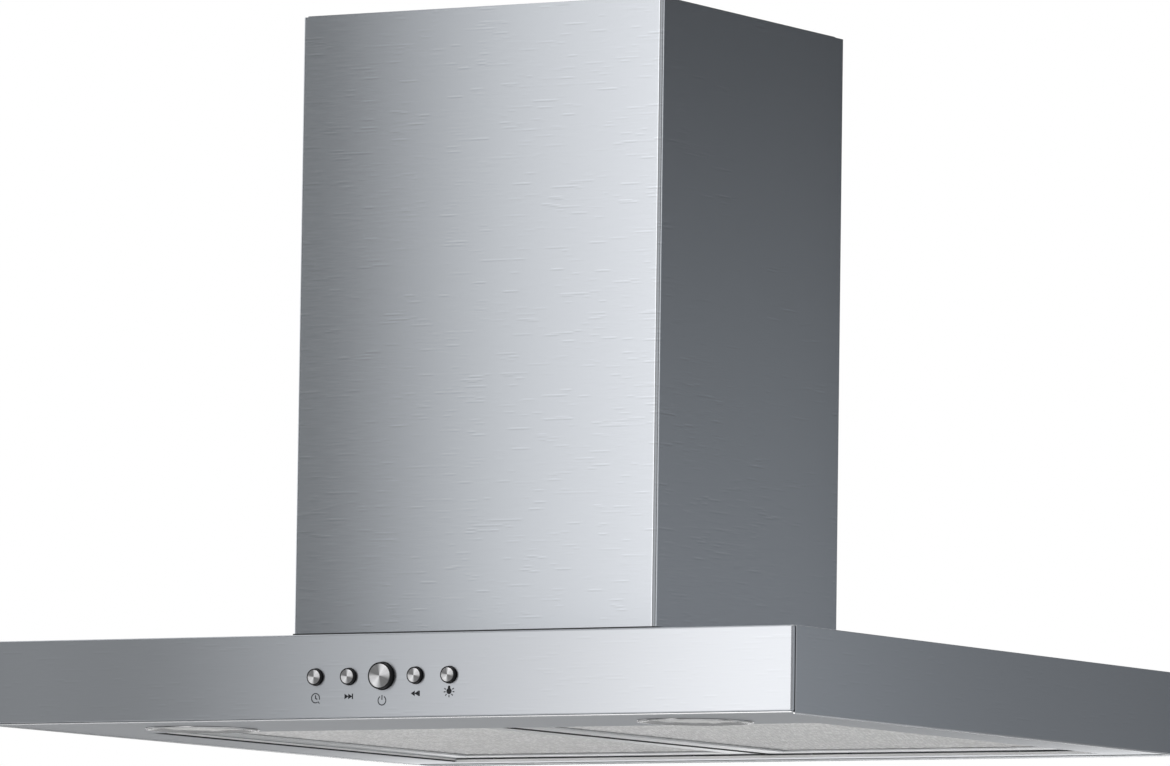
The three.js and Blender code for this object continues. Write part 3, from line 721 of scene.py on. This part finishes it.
def make_button(node, x, radius, proud, rim):
    """A black collar on its stem, and a slightly dished spun cap set into it."""
    face = FASCIA_FRONT - proud
    cap = radius - rim
    collar = [
        (0, face + 0.55), (cap + 0.05, face + 0.55), (cap + 0.05, face + 0.22), (radius - 0.12, face + 0.22),
        (radius, face + 0.34), (radius, COLLAR_FRONT), (radius + COLLAR_PROUD, COLLAR_FRONT),
        (radius + COLLAR_PROUD, COLLAR_REAR), (STEM_RADIUS, COLLAR_REAR), (STEM_RADIUS, STEM_REAR), (0, STEM_REAR),
    ]
    spun = [
        (0, face + 0.12), (0.35, face + 0.11), (cap * 0.55, face + 0.06), (cap - 0.35, face),
        (cap - 0.12, face + 0.05), (cap, face + 0.20), (cap, face + 0.5), (0, face + 0.5),
    ]
    make(node + "_body", lathe(collar, (x, BUTTON_Z)), node, BLACK, [node])
    make(node + "_cap", lathe(spun, (x, BUTTON_Z), steps=96), node, FINISH["button_metal"],
         smooth_angle=50)


for node, (x, (radius, _, proud, rim)) in BUTTONS.items():
    make_button(node, x, radius, proud, rim)

# ---------------------------------------------------------------- printed signs


def arc_band(radius, width, start, end, steps=40):
    """Part of a ring, as quads, with angles in degrees from +x."""
    inner, outer = radius - width / 2, radius + width / 2
    quads = []
    for step in range(steps):
        a, b = (math.radians(start + (end - start) * (step + k) / steps) for k in (0, 1))
        quads.append([(r * math.cos(t), r * math.sin(t)) for r, t in ((inner, a), (outer, a), (outer, b), (inner, b))])
    return quads


def stroke(start, end, width):
    start, end = Vector(start), Vector(end)
    along = (end - start).normalized()
    aside = Vector((-along.y, along.x)) * (width / 2)
    return [tuple(start + aside), tuple(start - aside), tuple(end - aside), tuple(end + aside)]


def sign(name, polygons, button, drop, ink):
    """Flat shapes printed on the fascia below a button, drawn in x and z about their centre."""
    centre = (BUTTONS[button][0], BUTTON_Z - drop)
    points, faces = [], []
    for polygon in polygons:
        area = sum(a[0] * b[1] - b[0] * a[1] for a, b in zip(polygon, polygon[1:] + polygon[:1]))
        ordered = polygon if area > 0 else polygon[::-1]
        base = len(points)
        count = len(ordered)
        for depth in (FASCIA_FRONT - 0.03, FASCIA_FRONT + 0.02):
            points += [(centre[0] + px, depth, centre[1] + pz) for px, pz in ordered]
        faces.append(tuple(base + i for i in range(count)))
        for i in range(count):
            j = (i + 1) % count
            faces.append((base + i, base + count + i, base + count + j, base + j))
    make(name, from_faces(points, faces), "hood_body", ink, smooth_angle=10)


def arrows(foot, tip):
    """Two blunt arrowheads, each from its foot to its tip, and a bar at the right."""
    heads = [[(x + foot, 1.75), (x + foot, -1.75), (x + tip, -0.25), (x + tip, 0.25)] for x in (-3.2, -0.4)]
    return [*heads, stroke((2.8, 1.75), (2.8, -1.75), 0.9)]


def bulb_with_rays(radius=1.95, middle=-0.5):
    bulb = [
        (radius * math.cos(t), middle + radius * math.sin(t))
        for t in (math.radians(120 + 300 * i / 28) for i in range(29))
    ]
    neck = [(0.85, 2.3), (0.65, 2.9), (-0.65, 2.9), (-0.85, 2.3)]
    rays = [
        stroke(*((r * math.cos(t), middle + r * math.sin(t)) for r in (2.6, 4.0)), 0.7)
        for t in map(math.radians, (-172, -134, -90, -46, -8, 26, 154))
    ]
    return [bulb + neck, *rays]


clock = [
    *arc_band(3.0, 0.72, -20, 300),
    stroke((0, -0.2), (0, 1.9), 0.8),
    stroke((-0.2, 0), (1.4, -0.8), 0.8),
    stroke((1.9, -2.2), (3.0, -3.5), 0.7),
]
power = [*arc_band(2.9, 0.72, 120, 420), stroke((0, 0.4), (0, 3.5), 0.75)]
sign("timer_sign", clock, "timer_button", 13.6, INK_GREY)
sign("power_sign", power, "power_button", 15.8, INK_GREY)
sign("speed_down_sign", arrows(0, 2.7), "speed_down_button", 12.8, INK_DARK)
sign("speed_up_sign", arrows(2.7, 0), "speed_up_button", 11.6, INK_DARK)
sign("lamp_sign", bulb_with_rays(), "lamp_button", 10.0, INK_DARK)

# ---------------------------------------------------------------- lamps


def make_lamp(side):
    """A rolled trim ring, with a ribbed glass set back in it."""
    low, high = span_of(f"lamp_trim_{side}")
    centre = ((low.x + high.x) / 2, (low.y + high.y) / 2)
    face, top = low.z, high.z
    rim = (high.x - low.x) / 2
    ring = [
        (rim, face + 0.8), (rim - 0.1, face + 0.45), (rim - 0.5, face + 0.15), (rim - 1.3, face), (rim - 3.4, face),
        (rim - 4.2, face + 0.25), (rim - 5.6, face + 0.3), (rim - 7.8, face + 0.75), (rim - 9.1, face + 1.35),
        (rim - 9.5, face + 1.35), (rim - 9.5, face + 1.05), (rim - 8.5, face + 1.1), (rim - 8.5, top),
        (rim - 6.8, top), (rim - 6.8, face + 0.8),
    ]
    make(f"lamp_trim_{side}_ring", lathe(ring, centre, "z", 96, closed=True), "hood_body",
         FINISH["chrome_trim"], [f"lamp_trim_{side}"])
    low, high = span_of(f"lamp_lens_{side}")
    glass = (high.x - low.x) / 2
    ribs = [(0, low.z + 0.35)]
    for step in range(1, 14):
        ribs += [(step * 2 - 1, low.z + 0.05), (step * 2, low.z + 0.4)]
    ribs += [(glass - 1.1, low.z), (glass, low.z + 0.2), (glass, high.z), (0, high.z)]
    make(f"lamp_lens_{side}_ribbed", lathe(ribs, centre, "z", 72), "hood_body", FINISH["lamp_glass"],
         [f"lamp_lens_{side}"])


for side in ("left", "right"):
    make_lamp(side)

# ---------------------------------------------------------------- underside
PAN_LOW, PAN_HIGH = span_of("bottom_pan")
PAN_FACE = PAN_LOW.z
WELL_LEFT, WELL_RIGHT, WELL_FRONT, WELL_REAR = -252.0, 252.0, -115.0, 283.0
HINGE_INSET, HINGE_HALF = 44.0, 14.2


def make_edge_bead():
    """A bright rounded strip round the left, right and rear edges: a painted highlight along the pan's edges."""
    left, right, front, rear = PAN_LOW.x + 0.4, PAN_HIGH.x - 0.4, PAN_LOW.y + 1, PAN_HIGH.y - 0.4
    strips = (
        (left, rear - 1.3, right, rear),
        (left, front, left + 1.1, rear - 1.3),
        (right - 1.1, front, right, rear - 1.3),
    )
    bead = [
        round_edges(box_mesh((x0, y0, PAN_FACE - 0.7), (x1, y1, PAN_FACE - 0.02)), 0.3, 3,
                    lambda p, q: max(p.z, q.z) < PAN_FACE - 0.5)
        for x0, y0, x1, y1 in strips
    ]
    make("pan_edge_bead", joined(*bead), "hood_body", EDGE_HIGHLIGHT_METAL)


def make_well_trim():
    """A black strip over a pale one on the well's walls: painted shade along the well's edge, and a painted highlight
    along the filter frames' edge. At the rear the black strip leaves the hinge slots free.
    """
    for side, wall, inward in (("left", WELL_LEFT, 1), ("right", WELL_RIGHT, -1)):
        x0, x1 = sorted((wall + inward * 0.03, wall + inward * 0.3))
        # The black strip is painted shade and the pale one a painted highlight.
        for part, lift, tall, finish in (("seal", 0.25, 0.85, BLACK), ("bead", 1.15, 1.3, HIGHLIGHT_PALE)):
            strip = box_mesh((x0, WELL_FRONT + 1, PAN_FACE + lift), (x1, WELL_REAR - 1, PAN_FACE + lift + tall))
            make(f"well_{part}_{side}", strip, "hood_body", finish)
    y0, y1 = WELL_REAR - 0.3, WELL_REAR - 0.03
    slots = [
        x for low, high in (span_of("filter_frame_left"), span_of("filter_frame_right"))
        for x in (low.x + HINGE_INSET, high.x - HINGE_INSET)
    ]
    ends = [WELL_LEFT + 1, *(x + d for x in slots for d in (-HINGE_HALF, HINGE_HALF)), WELL_RIGHT - 1]
    seal = [
        box_mesh((x0, y0, PAN_FACE + 1.9), (x1, y1, PAN_FACE + 2.6)) for x0, x1 in zip(ends[::2], ends[1::2])
    ]
    make("well_shade_strip_rear", joined(*seal), "hood_body", BLACK)
    bead = box_mesh((WELL_LEFT + 1, y0, PAN_FACE + 0.15), (WELL_RIGHT - 1, y1, PAN_FACE + 1.75))
    make("well_bead_rear", bead, "hood_body", HIGHLIGHT_PALE)


def make_pan_rear_seal():
    seal = box_mesh((PAN_LOW.x + 6, 303, PAN_FACE - 0.3), (PAN_HIGH.x - 6, 310, PAN_FACE - 0.03))
    make("pan_rear_seal", seal, "hood_body", GREY)


def make_filter_seal():
    """A black strip in the gap between the filters, folded a little way under the left one."""
    low, high = span_of("filter_frame_left")
    front, rear = low.y + 2, high.y - 6
    seal = joined(
        box_mesh((high.x + 0.03, front, low.z + 0.1), (high.x + 0.6, rear, low.z + 4)),
        box_mesh((high.x - 2.2, front, low.z - 0.3), (high.x - 0.1, rear, low.z - 0.02)),
    )
    make("filter_seal", seal, "filter_left", BLACK)


make_edge_bead()
make_well_trim()
make_pan_rear_seal()
make_filter_seal()

# ---------------------------------------------------------------- filters
CELL = (4.6, 3.4)
OPEN_X, OPEN_Y = 0.34, 0.31  # the half diagonals of a cell's opening, as shares of the cell
MESH_LAYERS = (0.7, 2.6, 5.4)
MESH_BORDER = 4


def expanded_metal(x, y, z, lift, shift):
    """A slit and stretched sheet: a lozenge in each cell, with its strands tilted up and down."""
    columns = round((x[1] - x[0]) / CELL[0])
    rows = round((y[1] - y[0]) / CELL[1])
    pitch = ((x[1] - x[0]) / columns, (y[1] - y[0]) / rows)
    points, faces, knots = [], [], {}

    def knot(i, j):
        if (i, j) not in knots:
            knots[i, j] = len(points)
            points.append((x[0] + i * pitch[0], y[0] + j * pitch[1], z + (lift if (i + j + shift) % 2 else -lift)))
        return knots[i, j]

    for i in range(columns):
        for j in range(rows):
            middle = (x[0] + (i + 0.5) * pitch[0], y[0] + (j + 0.5) * pitch[1])
            lean = lift * (1 if (i + j + shift) % 2 else -1)
            base = len(points)
            for dx, dy, dz in ((-OPEN_X, 0, lean), (0, -OPEN_Y, -lean), (OPEN_X, 0, lean), (0, OPEN_Y, -lean)):
                points.append((middle[0] + dx * pitch[0], middle[1] + dy * pitch[1], z + dz * 0.6))
            west, south, east, north = range(base, base + 4)
            sw, se, ne, nw = knot(i, j), knot(i + 1, j), knot(i + 1, j + 1), knot(i, j + 1)
            faces += [(sw, se, south), (se, ne, east), (ne, nw, north), (nw, sw, west)]
            faces += [(sw, south, west), (se, east, south), (ne, north, east), (nw, west, north)]
    return from_faces(points, faces)


def make_filter_mesh(side):
    """Three layers of expanded metal over a thin backing, held in a border."""
    low, high = span_of(f"filter_mesh_{side}")
    x, y = (low.x + 0.3, high.x - 0.3), (low.y + 0.3, high.y - 0.3)
    layers = [expanded_metal(x, y, low.z + lift, 0.45, level) for level, lift in enumerate(MESH_LAYERS)]
    backing = box_mesh((low.x + 1, low.y + 1, low.z + 1.5), (high.x - 1, high.y - 1, low.z + 1.8))
    front, rear = low.y + MESH_BORDER, high.y - MESH_BORDER
    border = [
        box_mesh((x0, y0, low.z), (x1, y1, high.z))
        for x0, y0, x1, y1 in (
            (low.x, low.y, high.x, front), (low.x, rear, high.x, high.y),
            (low.x, front, low.x + MESH_BORDER, rear), (high.x - MESH_BORDER, front, high.x, rear),
        )
    ]
    make(f"filter_mesh_{side}_layers", joined(*layers, backing, *border), f"filter_{side}",
         FINISH["filter_mesh"], [f"filter_mesh_{side}"], smooth_angle=20)


for side in ("left", "right"):
    make_filter_mesh(side)

# ---------------------------------------------------------------- studio, in metres
WORLD_LIGHT = 0.75
FLOOR_SIZE, FLOOR_Z, FLOOR_GLOW = 120, -4.5, 0.22


def stage_plane(name, width, height, centre, towards, material):
    """A flat card that faces a point. It isn't part of the hood."""
    mesh = bpy.data.meshes.new(name)
    w, h = width / 2, height / 2
    mesh.from_pydata([(-w, -h, 0), (w, -h, 0), (w, h, 0), (-w, h, 0)], [], [(0, 1, 2, 3)])
    mesh.materials.append(material)
    plane = bpy.data.objects.new(name, mesh)
    SCENE.collection.objects.link(plane)
    look = (Vector(towards) - Vector(centre)).normalized()
    upright = Vector((0, 0, 1)) if abs(look.z) < 0.9 else Vector((0, 1, 0))
    across = upright.cross(look).normalized()
    rise = look.cross(across)
    plane.matrix_world = Matrix.Translation(centre) @ Matrix((across, rise, look)).transposed().to_4x4()
    return plane


def glowing(name, stops_x, stops_y, tints):
    """A material that glows to one side, brighter or darker along its width and height. Stops are (share of the
    way, strength), and the colour is blended between the tints of the dimmest, middle and brightest parts."""
    s = Shader(name)
    s.tree.nodes.remove(s.bsdf)
    x, y, _ = s.parts(s.place("Generated"))
    top = max(level for _, level in stops_x)
    low = min(level for _, level in stops_x)

    def tinted(level):
        place = 2 * (level - low) / max(top - low, 1e-6)
        first, second = (tints[0], tints[1]) if place < 1 else (tints[1], tints[2])
        part = place if place < 1 else place - 1
        return tuple(level / top * (a + (b - a) * part) for a, b in zip(first, second))

    rise = max(level for _, level in stops_y)
    height = s.ramp(y, [(position, (level / rise,) * 3) for position, level in stops_y])
    front = s.math("SUBTRACT", 1.0, s.node("ShaderNodeNewGeometry").outputs["Backfacing"])
    emission = s.node("ShaderNodeEmission")
    s.feed(emission.inputs["Color"], s.ramp(x, [(position, tinted(level)) for position, level in stops_x]))
    s.feed(emission.inputs["Strength"], s.math("MULTIPLY", s.math("MULTIPLY", height, rise * top), front))
    s.show(emission.outputs[0])
    return s.material


EVEN = ((0, 1), (1, 1))
WHITE = (1.0, 1.0, 1.0)


def card(name, width, height, centre, towards, stops_x, stops_y=EVEN, tints=(WHITE,) * 3):
    made = stage_plane(name, width, height, centre, towards, glowing(name, stops_x, stops_y, tints))
    made.visible_camera = False
    made.visible_shadow = False


def even_card(name, width, height, centre, towards, level):
    """A card with one strength all over. A dim one is a flag, which darkens what mirrors it."""
    card(name, width, height, centre, towards, ((0, level), (1, level)))


def card_stops(profile, start, end):
    """Places in metres along x, as shares of the way from one end of the card to the other."""
    return tuple(sorted(((x - start) / (end - start), level) for x, level in profile))


# The front faces mirror this card, which is brightest near the middle of the hood. The chimney mirrors the part
# right of the dip at x = -0.76, and the left half of the canopy the part left of it.
KEY_LEFT, KEY_RIGHT = -1.5, 0.0
KEY_PROFILE = (
    (-1.5, 0.05), (-1.05, 0.05), (-0.9, 0.63), (-0.84, 0.63), (-0.78, 0.16), (-0.74, 0.16), (-0.68, 0.47),
    (-0.55, 0.95), (-0.4, 1.25), (-0.27, 2.0), (-0.2, 2.25), (-0.12, 2.2), (0.0, 1.3),
)
KEY_TINTS = ((1.0, 1.03, 1.04), (1.0, 0.99, 0.985), (1.0, 0.975, 0.955))
KEY_RISE = ((0, 0.4), (0.22, 1), (0.67, 1), (0.8, 0.5), (1, 0.35))
# The right-hand faces mirror this card, which darkens upwards and towards the front.
SIDE_LEFT, SIDE_RIGHT = 0.35, 1.85
SIDE_PROFILE = ((0.35, 0.03), (0.48, 0.03), (0.62, 0.27), (0.84, 0.27), (1.05, 0.57), (1.2, 0.6), (1.85, 0.05))
SIDE_RISE = ((0, 1.3), (0.38, 1.1), (0.42, 1.0), (0.6, 0.36), (0.75, 0.2), (1, 0.1))
SIDE_TINT = (1.0, 1.04, 1.087)


def make_cards():
    # The card in front faces +y, so its own width runs from the right of the hood to the left.
    middle = (KEY_LEFT + KEY_RIGHT) / 2
    card("card_front_left", KEY_RIGHT - KEY_LEFT, 2.6, (middle, -1.12, -0.1), (middle, 0, -0.1),
         card_stops(KEY_PROFILE, KEY_RIGHT, KEY_LEFT), KEY_RISE, KEY_TINTS)
    middle = (SIDE_LEFT + SIDE_RIGHT) / 2
    card("card_rear_right", SIDE_RIGHT - SIDE_LEFT, 2.4, (middle, 1.0, -0.1), (middle, 0, -0.1),
         card_stops(SIDE_PROFILE, SIDE_LEFT, SIDE_RIGHT), SIDE_RISE, (SIDE_TINT,) * 3)
    # On the camera's side the light falls off towards the card in front.
    card("flag_camera_side", 2.4, 3.4, (0.85, -1.35, -0.2), (0.1, -0.1, -0.2),
         ((0, 0.55), (0.58, 0.55), (0.8, 0.3), (0.92, 0.06), (1, 0.05)))
    # A low flag close behind the hood darkens the front of its underside, and a card lights the rest.
    even_card("flag_low_rear", 1.5, 0.8, (-0.3, 0.36, -0.912), (-0.3, 0, -0.912), 0.35)
    even_card("card_low_rear", 2.4, 1.5, (-1.0, 1.7, -0.85), (-1.0, 0, -0.85), 1.6)
    # Flags at the ends keep the bends of the sheets dark.
    even_card("flag_right", 1.5, 2.4, (1.9, -0.65, -0.1), (0, -0.65, -0.1), 0.2)
    even_card("flag_left", 0.8, 2.4, (-1.55, -0.7, -0.1), (0, -0.7, -0.1), 0.28)


def make_overhead_light():
    data = bpy.data.lights.new("overhead", "AREA")
    data.shape = "RECTANGLE"
    data.size, data.size_y = 1.2, 0.7
    data.energy = 18
    overhead = bpy.data.objects.new("overhead", data)
    overhead.location = (0.1, -1.25, 0.75)
    overhead.rotation_euler = (Vector((0, 0, -0.4)) - overhead.location).to_track_quat("-Z", "Y").to_euler()
    overhead.visible_camera = False
    overhead.visible_glossy = False
    SCENE.collection.objects.link(overhead)


def seen_by(nodes):
    """1 for camera, glossy and transmission rays, so that metal and glass show the same backdrop as the camera."""
    rays = nodes.node("ShaderNodeLightPath").outputs
    mirrored = nodes.math("MAXIMUM", rays["Is Glossy Ray"], rays["Is Transmission Ray"])
    return nodes.math("MAXIMUM", rays["Is Camera Ray"], mirrored)


def make_world():
    world = bpy.data.worlds.new("studio")
    world.use_nodes = True
    nodes = Nodes(world.node_tree)
    background = nodes.tree.nodes["Background"]
    background.inputs["Color"].default_value = (*WHITE, 1)
    nodes.feed(background.inputs["Strength"], nodes.span(seen_by(nodes), 0, 1, WORLD_LIGHT, 1.0, smooth=False))
    SCENE.world = world


def make_floor():
    """Pale and far below the hood. Seen from below it is clear, so it never hides the underside."""
    s = Shader("floor_pale")
    s.finish(
        Base_Color=s.mix(s.noise(s.place(), 3, 3), (0.86, 0.86, 0.86), (0.88, 0.88, 0.88)),
        Roughness=0.6,
        Emission_Color=WHITE,
        Emission_Strength=s.math("MULTIPLY", seen_by(s), FLOOR_GLOW),
    )
    either = s.node("ShaderNodeMixShader")
    s.feed(either.inputs[0], s.node("ShaderNodeNewGeometry").outputs["Backfacing"])
    s.feed(either.inputs[1], s.bsdf.outputs[0])
    s.feed(either.inputs[2], s.node("ShaderNodeBsdfTransparent").outputs[0])
    s.show(either.outputs[0])
    stage_plane("floor", FLOOR_SIZE, FLOOR_SIZE, (0, 0, FLOOR_Z), (0, 0, 0), s.material)


make_cards()
make_overhead_light()
make_world()
make_floor()
